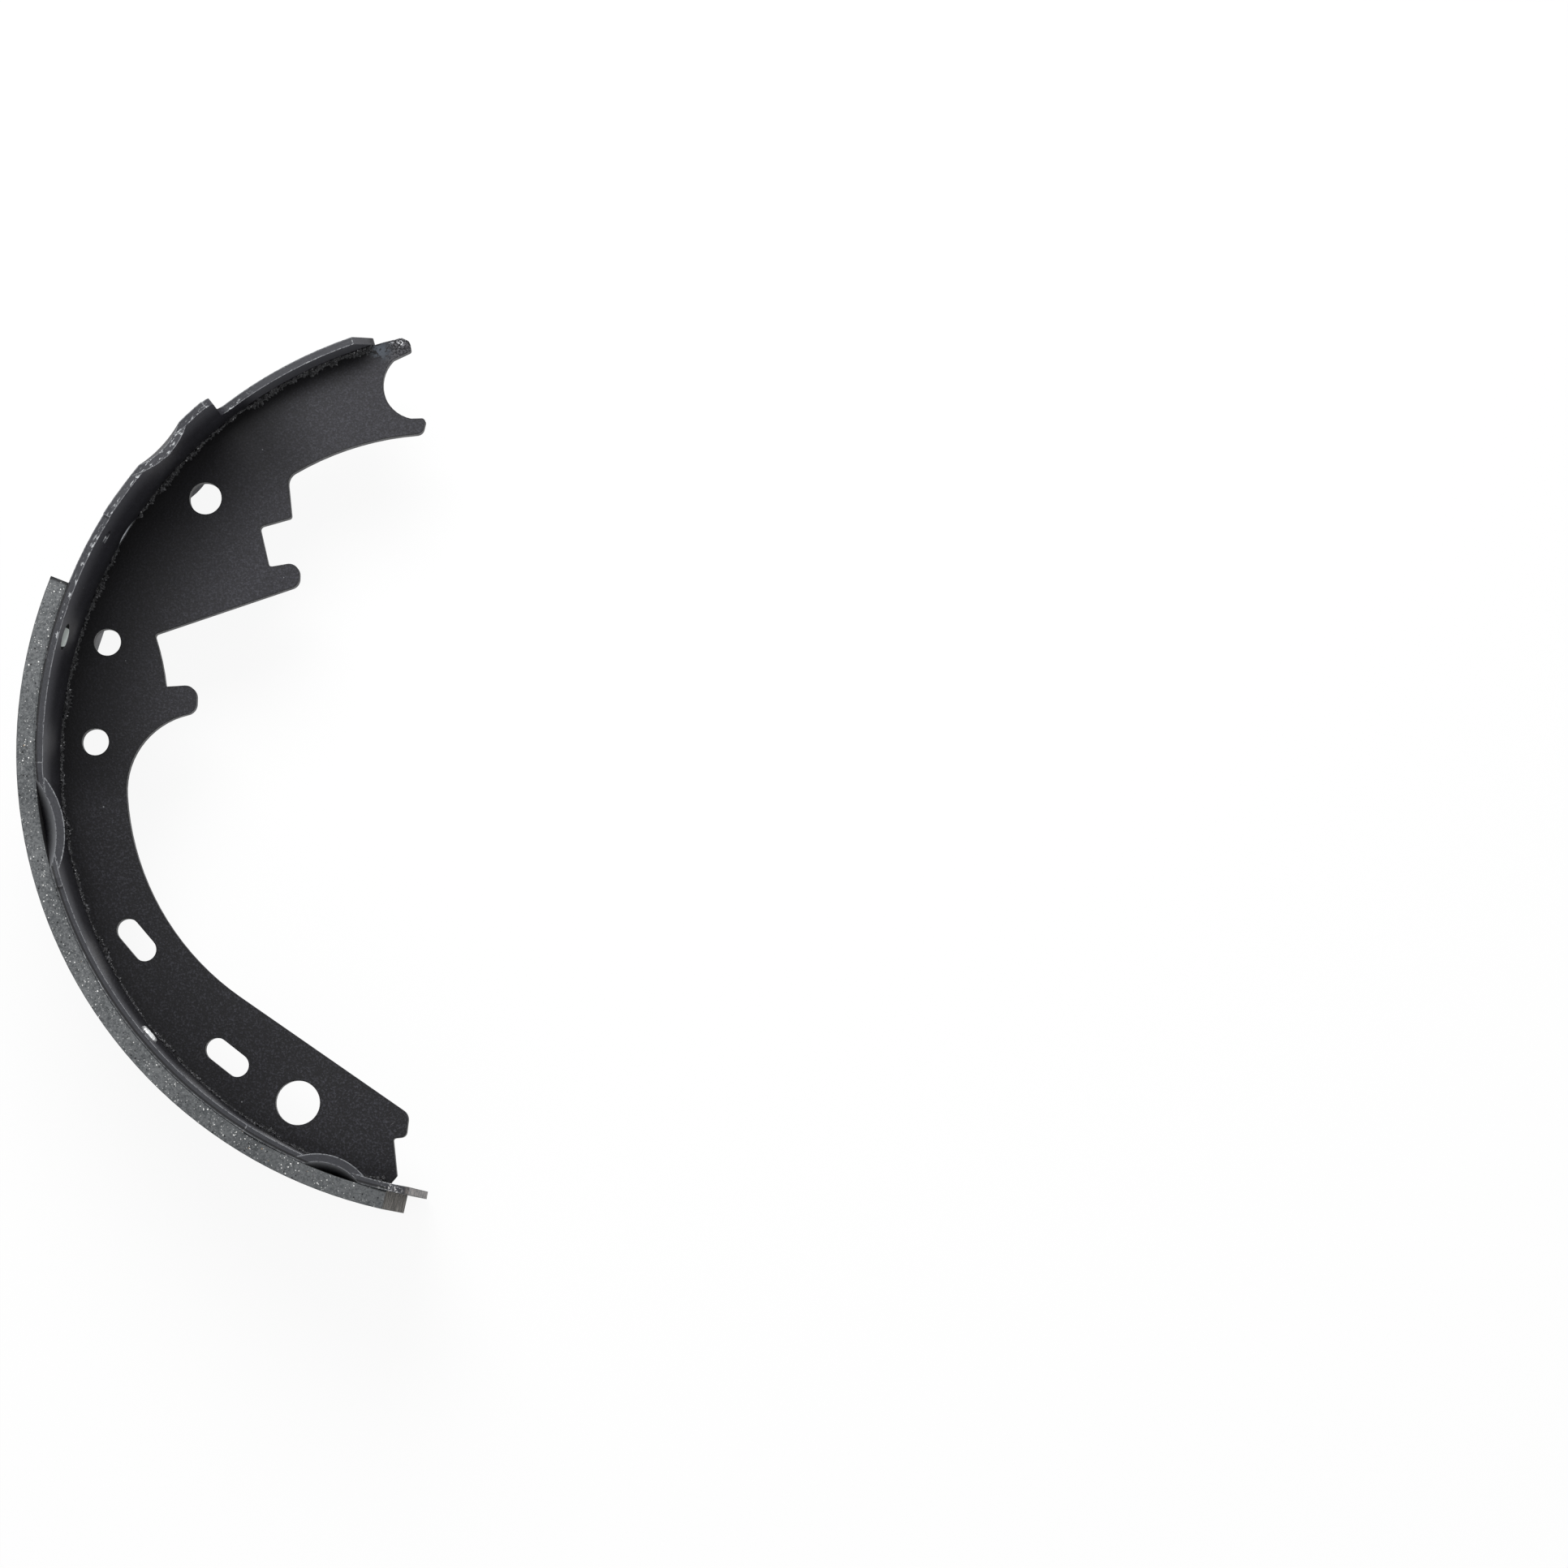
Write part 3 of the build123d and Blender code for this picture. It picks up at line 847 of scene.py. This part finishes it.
@dataclass
class Table:
    """The rolled strip: its coat, and the raised rims that the welds leave on its back."""

    drum: Drum
    coat: ShoeCoat = ShoeCoat(
        name="table_coat_finish",
        rim_share=0.9,
        end_share=1.0,
        # brim, pocket and tongue set painted light; gap_line and seam_shade set painted shade
        brim_light=0.75,
        pocket_light=0.9,
        tongue=0.80,
        gap_line=0.95,
        wear=0.9,
        seam_shade=0.6,
    )
    tip_bearing: float = -77.6
    tip_reach: float = 6.0 * MM
    # reach of the painted shade on the open holes' walls
    open_radius: float = 4.4 * MM
    # bright sliver of painted light in each open hole
    bright: Colour = (0.88, 0.95, 0.92)
    lit_sliver_drop: float = 2.9 * MM
    lit_sliver_reach: float = 3.0 * MM
    centre_grey: Colour = (0.26, 0.27, 0.29)
    centre_radius: float = 5.4 * MM
    hole_soft: float = 0.05
    weld_bearings: tuple[float, ...] = (57.1, 40.6, 24.1)
    rim_radius: float = 2.6 * MM
    rim_half_width: float = 0.45 * MM
    rim_height: float = 0.16 * MM

    def dress(self) -> bpy.types.Material:
        """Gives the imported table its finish.

        Returns:
            The finish, for what else is made of the same steel.
        """
        back = self.drum.table_inner - self.drum.table_outer
        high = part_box("table")[1].z - self.drum.middle
        spots = [
            Spot(back, self.tip_bearing, side.value * high, self.tip_reach, self.coat.steel, 0.15, 0.9)
            for side in Side
        ]
        # the walls of the two open holes, darkened with painted shade and each with a bright sliver of
        # painted light, and of the centre hole
        walls = [
            (self.drum.open_bearing, side.value * self.drum.open_height - drop, reach, colour)
            for side in Side
            for drop, reach, colour in (
                (0.0, self.open_radius, self.coat.soot),
                (self.lit_sliver_drop, self.lit_sliver_reach, self.bright),
            )
        ]
        walls.append((self.drum.centre_bearing, 0.0, self.centre_radius, self.centre_grey))
        spots += [Spot(back / 2, *wall, cover=1.0, soft=self.hole_soft) for wall in walls]
        material = self.coat.build(self.drum, spots)
        set_finish(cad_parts["table"], material)
        return material

    def weld_rims(self, material: bpy.types.Material) -> bpy.types.Object:
        """Makes the low raised rims round the marks of the welds.

        Args:
            material: The finish of the table.

        Returns:
            The piece that holds all the rims.
        """
        around, section = 72, 10
        vertices: list[Vector] = []
        faces: list[tuple[int, ...]] = []
        for number, bearing in enumerate(self.weld_bearings):
            out, along = self.drum.out(bearing), self.drum.along(bearing)
            base = len(vertices)
            for i in range(around):
                turn = math.tau * i / around
                wave = noise.noise(Vector((math.cos(turn), math.sin(turn), number * 3.1)))
                ring = self.rim_radius * (1 + 0.10 * wave)
                width = self.rim_half_width * (1 + 0.45 * wave)
                for k in range(section):
                    tilt = math.tau * k / section
                    reach = ring + width * math.cos(tilt)
                    rise = self.rim_height * math.sin(tilt) * (1 + 0.5 * wave)
                    aside = reach * math.sin(turn)
                    forward = reach * math.cos(turn)
                    radius = math.sqrt(self.drum.table_outer**2 - forward**2) + rise
                    centre = self.drum.point(0.0, bearing, aside)
                    vertices.append(centre + out * radius + along * forward)
            faces += [tuple(base + v for v in f) for f in tube_faces(around, section, True)]
        return mesh_piece("weld_mark_rims", vertices, faces, material)


@dataclass
class Web:
    """The stamped plate, and the ragged weld along its seam with the table.

    The spots are a hazy lighter patch and chalky flecks on the upper horn, and fine scratches near
    the adjuster end. The bead is thin at the adjuster end, thickens over the thick range, and
    takes on a groove over the groove range.
    """

    drum: Drum
    # outline and smoke paint shade: a dark outline at the edges, and the table's shadow by the seam
    coat: ShoeCoat = ShoeCoat(name="web_coat_finish", wear=0.35, outline_shade=0.7, table_shadow=0.68)
    slag: ShoeCoat = ShoeCoat(
        name="weld_slag_finish",
        deep=(0.0026, 0.0026, 0.0032),
        light=(0.0110, 0.0110, 0.0130),
        haze=(0.1900, 0.1910, 0.2040),
        mote=(0.42, 0.42, 0.43),
        # faint painted shade along the seam
        seam_shade=0.10,
        motes=Grains(0.9 * MM, 0.28 / 0.9, 0.30),
        grain=0.50 * MM,
        wear=0.6,
    )
    half: float = 1.8 * MM
    spots: tuple[Spot, ...] = (
        Spot(4.0 * MM, 77.6, half, 8.5 * MM, (0.094, 0.093, 0.102), 0.30, soft=0.7, grain=0.60 * MM),
        Spot(2.2 * MM, 74.6, half, 4.4 * MM, (0.075, 0.086, 0.103), 0.36, soft=0.9, grain=2.2 * MM),
        Spot(0.9 * MM, 77.2, half, 2.4 * MM, (0.82, 0.83, 0.86), 0.16, soft=0.4, grain=0.80 * MM),
        Spot(0.6 * MM, 75.9, half, 1.5 * MM, (0.50, 0.52, 0.56), 0.14, soft=0.4, grain=0.75 * MM),
        Spot(
            26.0 * MM, -68.2, half, 5.5 * MM, (0.190, 0.193, 0.200), 0.03,
            grain=0.45 * MM, stretch=16.0, turn=4.0,
        ),
        Spot(
            18.0 * MM, -74.6, half, 7.0 * MM, (0.150, 0.152, 0.158), -0.01,
            grain=0.42 * MM, stretch=5.0, turn=-30.0,
        ),
        Spot(13.0 * MM, -66.4, half, 9.5 * MM, (0.120, 0.122, 0.128), -0.03, grain=0.50 * MM),
    )
    seam: Range = (-75.0, 73.6)
    thick_range: Range = (-30.0, 10.0)
    groove_range: Range = (54.0, 66.0)
    weld_top: float = 57.1
    weld_pitch: float = 16.5
    weld_spread: float = 2.4
    open_half: float = 2.1
    open_fade: float = 0.6
    bead_width: float = 1.35 * MM
    bead_height: float = 0.85 * MM
    least_width: float = 0.12 * MM
    least_height: float = 0.10 * MM
    lump_size: float = 5.0 * MM
    sunk: float = 0.2 * MM
    step: float = 0.18 * MM
    sides: int = 11

    def dress(self) -> None:
        """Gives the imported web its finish."""
        set_finish(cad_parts["web"], self.coat.build(self.drum, self.spots))

    def swell(self, bearing: float) -> float:
        """How near a bearing is to a weld, from 0 between two welds to 1 at one."""
        offset = (self.weld_top - bearing) % self.weld_pitch
        return max(0.0, 1.0 - min(offset, self.weld_pitch - offset) / self.weld_spread)

    def closed(self, bearing: float) -> float:
        """Share of the bead that is left at a bearing: none beside the table's centre hole."""
        return ramp(abs(bearing - self.drum.centre_bearing) - self.open_half, 0.0, self.open_fade)

    def grit(self, along: float, turn: float, seed: float) -> float:
        """Roughness of the bead's surface: round grains and finer noise.

        Args:
            along: Distance along the seam, in metres.
            turn: Angle round the bead, in radians.
            seed: Number that sets one bead apart from the other.

        Returns:
            A value from about -1 to 1.
        """
        place = Vector((along / (0.95 * MM), turn * 1.9, seed))
        grain = 1.0 - 2.0 * min(1.0, noise.voronoi(place)[0][0] / 0.75)
        small = noise.noise(Vector((along / (0.50 * MM), turn * 3.4, seed + 9.1)))
        return grain + 0.5 * small

    def corner_point(self, bearing: float, inward: float, rise: float, side: Side) -> Vector:
        """Point inwards of the table's inner face, and above one face of the web."""
        return self.drum.point(self.drum.table_inner - inward, bearing, side.value * (self.half + rise))

    def bead(self, side: Side, material: bpy.types.Material) -> bpy.types.Object:
        """Makes the ragged bead in the corner between one face of the web and the table.

        Args:
            side: The face of the web that it lies on.
            material: The finish of the bead.

        Returns:
            The piece.
        """
        start, end = self.seam
        length = math.radians(end - start) * self.drum.table_inner
        rings = int(length / self.step)
        seed = 11.0 * side.value
        vertices: list[Vector] = []
        for i in range(rings):
            share = i / (rings - 1)
            bearing = start + (end - start) * share
            along = share * length
            swell = self.swell(bearing)
            left = self.closed(bearing)
            upper = ramp(bearing, *self.groove_range)
            middle = ramp(bearing, *self.thick_range)
            lump = ragged(along, seed, self.lump_size)
            width = self.bead_width * (0.55 + 0.30 * middle + 0.7 * swell + 0.5 * upper + 0.5 * lump)
            rise = self.bead_height * (0.55 + 0.25 * middle + 0.6 * swell + 0.3 * upper + 0.3 * lump)
            width, rise = max(width * left, self.least_width), max(rise * left, self.least_height)
            # the first point is buried in the corner, and the two ends of the bead's curve too
            vertices.append(self.corner_point(bearing, -self.sunk, -self.sunk, side))
            for k in range(self.sides):
                turn = math.pi / 2 * k / (self.sides - 1)
                groove = 1.0 - 0.45 * upper * math.exp(-(((turn - 0.75) / 0.22) ** 2))
                swollen = (1.0 + (0.50 - 0.14 * upper) * self.grit(along, turn, seed)) * groove
                inward = width * math.cos(turn) * swollen - self.sunk * (k == self.sides - 1)
                height = rise * math.sin(turn) * swollen - self.sunk * (k == 0)
                vertices.append(self.corner_point(bearing, inward, height, side))
        faces = tube_faces(rings, self.sides + 1, False)
        return mesh_piece("weld_bead_" + side.name.lower(), vertices, faces, material)


@dataclass
class Lining:
    """The friction lining: its finish, and the crumbs of bond left along its upper end."""

    drum: Drum
    compound: FrictionCompound = FrictionCompound()
    bond: Bond = Bond()
    width: float = 75.0 * MM
    rings: int = 380
    lump_size: float = 7.0 * MM
    crumb_size: float = 3.0 * MM
    least_reach: float = 0.12 * MM
    least_rise: float = 0.06 * MM
    tuck: float = 0.3 * MM
    sunk: float = 0.1 * MM

    def dress(self) -> None:
        """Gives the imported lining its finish."""
        heights = [side.value * self.drum.open_height for side in Side]
        holes = [self.drum.point(self.drum.table_outer, self.drum.open_bearing, h) for h in heights]
        set_finish(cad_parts["lining"], self.compound.build(self.drum, holes))

    def bond_line(self) -> bpy.types.Object:
        """Makes the pale ragged line of bond squeezed out at the upper end of the lining.

        Returns:
            The piece.
        """
        curve = [math.pi / 2 * k / 4 for k in range(4)]
        vertices: list[Vector] = []
        for i in range(self.rings):
            share = i / (self.rings - 1)
            height = self.width * (share - 0.5)
            ends = min(1.0, (1 - abs(2 * share - 1)) * 40)
            lump = ragged(height, 4.2, self.lump_size, 5)
            crumb = ragged(height, 8.8, self.crumb_size)
            reach = max(self.least_reach, (0.55 + 0.85 * lump) * MM) * ends
            rise = max(self.least_rise, (0.32 + 0.35 * crumb) * MM) * ends
            section = [
                (-self.tuck, -self.sunk),
                (reach, -self.sunk),
                *((reach * math.cos(turn), rise * math.sin(turn)) for turn in curve),
                (-self.tuck, rise),
            ]
            vertices += [self.bond_point(beyond, above, height) for beyond, above in section]
        faces = tube_faces(self.rings, len(section), False)
        return mesh_piece("bond_line", vertices, faces, self.bond.build())

    def bond_point(self, beyond: float, above: float, height: float) -> Vector:
        """Point beyond the lining's upper end, above the outer face of the table."""
        bearing = self.drum.lining_ends[1] + math.degrees(beyond / self.drum.table_outer)
        return self.drum.point(self.drum.table_outer + above, bearing, height)


@dataclass
class Rivet:
    """Semi-tubular rivet, closed by a tail rolled over inside the table."""

    drum: Drum
    node: str
    seat: float = 2.2 * MM
    head_radius: float = 3.6 * MM
    head_thickness: float = 1.3 * MM
    shank_radius: float = 2.4 * MM
    roll_radius: float = 3.2 * MM
    roll_thickness: float = 1.0 * MM
    bore_radius: float = 1.6 * MM
    bore_depth: float = 3.6 * MM
    edge: float = 0.32 * MM
    dish: float = 0.05 * MM
    around: int = 96

    def profile(self) -> list[tuple[float, float]]:
        """Half section of the rivet.

        Returns:
            Points as distance from its axis and height above the inner face of the table.
        """
        seat = self.drum.table_outer - self.drum.table_inner + self.seat
        top = seat + self.head_thickness
        # the head is a little hollow, and its edge is rounded
        points = [(0.0, top - self.dish), (self.head_radius * 0.55, top - self.dish * 0.8)]
        for i in range(7):
            turn = math.pi / 2 * i / 6
            points.append((
                self.head_radius - self.edge + self.edge * math.sin(turn),
                top - self.edge + self.edge * math.cos(turn),
            ))
        points += [(self.head_radius, seat), (self.shank_radius, seat)]
        # the roll bears on the curved table, and leads into the bore
        sag = self.drum.table_inner - math.sqrt(self.drum.table_inner**2 - self.roll_radius**2)
        middle = (self.roll_radius + self.bore_radius) / 2
        reach = (self.roll_radius - self.bore_radius) / 2
        points.append((self.shank_radius, -sag))
        for i in range(13):
            turn = math.pi * i / 12
            points.append((
                middle + reach * math.cos(turn),
                -sag - self.roll_thickness * math.sin(turn) ** 0.8,
            ))
        tail = -sag - self.roll_thickness
        points.append((self.bore_radius * 0.98, tail + self.bore_depth * 0.9))
        points.append((0.0, tail + self.bore_depth))
        return points

    def build(self, material: bpy.types.Material) -> bpy.types.Object:
        """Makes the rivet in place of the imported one.

        Args:
            material: Its finish.

        Returns:
            The piece.
        """
        low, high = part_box(self.node)
        centre = (low + high) / 2
        bearing = self.drum.bearing_of(centre)
        out, along = self.drum.out(bearing), self.drum.along(bearing)
        up = Vector((0.0, 0.0, 1.0))
        foot = self.drum.point(self.drum.table_inner, bearing)
        foot.z = centre.z
        rows = self.profile()
        seed = centre.z * 1000 + bearing
        vertices: list[Vector] = []
        for radius, height in rows:
            for k in range(self.around):
                turn = math.tau * k / self.around
                way = along * math.cos(turn) + up * math.sin(turn)
                reach, rise = self.worked(radius, height, turn, seed)
                vertices.append(foot + way * reach + out * rise)
        faces = [
            (r * self.around + k, (r + 1) * self.around + k,
             (r + 1) * self.around + (k + 1) % self.around, r * self.around + (k + 1) % self.around)
            for r in range(len(rows) - 1)
            for k in range(self.around)
        ]
        piece = mesh_piece(self.node + "_set", vertices, faces, material)
        weld_points(piece, 0.001 * MM)
        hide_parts(self.node)
        return piece

    def worked(self, radius: float, height: float, turn: float, seed: float) -> tuple[float, float]:
        """Marks of the setting tool on a point of the rivet: a dented head and a split roll.

        Args:
            radius: Distance of the point from the axis.
            height: Its height above the inner face of the table.
            turn: Its angle about the axis.
            seed: Number that sets one rivet apart from another.

        Returns:
            The new radius and height.
        """
        if height > self.seat:
            dent = noise.noise(Vector((radius * 900, turn * 0.6, seed)))
            return radius, height - 0.03 * MM * (1 + dent) * min(1.0, radius / MM)
        if height < -0.1 * MM:
            split = max(0.0, math.cos(turn * 5 + seed)) ** 24
            wave = noise.noise(Vector((math.cos(turn) * 1.3, math.sin(turn) * 1.3, seed)))
            outer = ramp(radius, self.bore_radius, 2 * self.bore_radius)
            factor = 1 - (0.05 * split + 0.03 * (1 + wave)) * outer
            return radius * factor, height * (1 - 0.22 * split * outer)
        return radius, height


def weld_points(piece: bpy.types.Object, distance: float) -> None:
    """Joins points of a mesh that lie at one place.

    Args:
        piece: The piece to clean.
        distance: The most that two joined points lie apart.
    """
    work = bmesh.new()
    work.from_mesh(piece.data)
    bmesh.ops.remove_doubles(work, verts=work.verts, dist=distance)
    bmesh.ops.recalc_face_normals(work, faces=work.faces)
    work.to_mesh(piece.data)
    work.free()


def set_finish(node: bpy.types.Object, material: bpy.types.Material) -> None:
    """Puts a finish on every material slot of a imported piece.

    Args:
        node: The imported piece.
        material: Its finish.
    """
    if not node.material_slots:
        node.data.materials.append(material)
    for place in node.material_slots:
        place.material = material


@dataclass(frozen=True)
class Lamp:
    """A soft round panel, placed by the direction and the distance of what it faces."""

    name: str
    azimuth: float
    elevation: float
    distance: float
    size: float
    watts: float

    def build(self, target: Vector) -> None:
        """Makes the lamp.

        Args:
            target: The point that it faces.
        """
        data = bpy.data.lights.new(self.name, "AREA")
        data.shape = "DISK"
        data.size = self.size
        data.energy = self.watts
        lamp = bpy.data.objects.new(self.name, data)
        a, e = math.radians(self.azimuth), math.radians(self.elevation)
        away = Vector((math.cos(a) * math.cos(e), math.sin(a) * math.cos(e), math.sin(e)))
        lamp.location = target + away * self.distance
        lamp.rotation_mode = "QUATERNION"
        lamp.rotation_quaternion = away.to_track_quat("Z", "Y")
        bpy.context.scene.collection.objects.link(lamp)


@dataclass
class Studio:
    """White floor and surroundings, soft lamps, and the camera above the shoe."""

    drum: Drum
    floor_size: float = 6.0
    floor_drop: float = 0.2 * MM
    floor_grey: Colour = (0.88, 0.88, 0.88)
    shaded_grey: Colour = (0.11, 0.11, 0.11)
    floor_glow: float = 0.91
    white: Colour = (1.0, 1.0, 1.0)
    world_light: float = 0.34
    lens: float = 130.43
    sensor: float = 36.0
    clip: Range = (0.05, 20.0)
    distance: float = 1714.97 * MM
    aim_from_axis: Range = (86.87 * MM, -8.55 * MM)
    tilt: tuple[float, float, float] = (0.09132, 0.01563, -0.01076)
    lamps: tuple[Lamp, ...] = (
        Lamp("key_lamp", 98.0, 52.0, 0.85, 0.55, 5.2),
        Lamp("fill_lamp", -20.0, 50.0, 1.8, 1.2, 4.0),
    )

    def camera(self) -> None:
        """Makes the camera, which looks almost straight down."""
        data = bpy.data.cameras.new("camera")
        data.lens = self.lens
        data.sensor_width = self.sensor
        data.clip_start, data.clip_end = self.clip
        camera = bpy.data.objects.new("camera", data)
        x, y, z = (Matrix.Rotation(angle, 3, axis) for angle, axis in zip(self.tilt, "XYZ"))
        turn = x @ y @ z
        aside, ahead = self.aim_from_axis
        aim = Vector((self.drum.axis_x + aside, self.drum.axis_y + ahead, self.drum.middle))
        eye = aim + turn @ Vector((0.0, 0.0, self.distance))
        camera.matrix_world = Matrix.Translation(eye) @ turn.to_4x4()
        bpy.context.scene.collection.objects.link(camera)
        bpy.context.scene.camera = camera

    def world(self) -> None:
        """Makes the surroundings: white where they are seen, plain light elsewhere."""
        world = bpy.data.worlds.new("surroundings")
        bpy.context.scene.world = world
        g = Graph(world)
        lit, white = (
            g.node("ShaderNodeBackground", {"Color": self.white, "Strength": strength}).outputs[0]
            for strength in (self.world_light, 1.0)
        )
        g.end(g.node("ShaderNodeMixShader", {0: g.seen(), 1: lit, 2: white}))

    def floor(self) -> None:
        """Makes the white floor, which keeps a faint shadow of the shoe."""
        g = Graph(bpy.data.materials.new("floor_finish"))
        plain, pale = (
            g.node("ShaderNodeBsdfDiffuse", {"Color": grey}).outputs[0]
            for grey in (self.floor_grey, self.shaded_grey)
        )
        glow = g.node("ShaderNodeEmission", {"Strength": self.floor_glow}).outputs[0]
        both = g.node("ShaderNodeAddShader", {0: pale, 1: glow}).outputs[0]
        g.end(g.node("ShaderNodeMixShader", {0: g.seen(), 1: plain, 2: both}))
        half = self.floor_size / 2
        corners = ((-half, -half), (half, -half), (half, half), (-half, half))
        mesh = bpy.data.meshes.new("floor")
        mesh.from_pydata([(x, y, -self.floor_drop) for x, y in corners], [], [(0, 1, 2, 3)])
        mesh.materials.append(g.owner)
        floor = bpy.data.objects.new("floor", mesh)
        bpy.context.scene.collection.objects.link(floor)

    def build(self) -> None:
        """Makes the whole studio."""
        bpy.context.scene.view_settings.view_transform = "Standard"
        self.camera()
        self.world()
        self.floor()
        target = self.drum.point(self.drum.table_inner / 2, 0.0)
        for lamp in self.lamps:
            lamp.build(target)


def main() -> None:
    """Dresses the shoe, builds the studio and notes the size of the model."""
    logging.basicConfig(level=logging.INFO, format="%(name)s: %(message)s")
    drum = Drum.from_frame()
    LOG.info("drum axis at %.4f, %.4f m", drum.axis_x, drum.axis_y)
    Studio(drum).build()
    web = Web(drum)
    web.dress()
    slag = web.slag.build(drum)
    made = [web.bead(side, slag) for side in Side]
    table = Table(drum)
    made.append(table.weld_rims(table.dress()))
    lining = Lining(drum)
    lining.dress()
    made.append(lining.bond_line())
    plates = [finish.build() for finish in RIVET_ROWS]
    for number, name in enumerate(sorted(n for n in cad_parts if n.startswith("rivet_"))):
        made.append(Rivet(drum, name).build(plates[number // 2]))
    dressed = [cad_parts[name] for name in ("web", "table", "lining")]
    for piece in dressed + made:
        LOG.info("%s has %d faces", piece.name, len(piece.data.polygons))


if __name__ == "__main__":
    main()
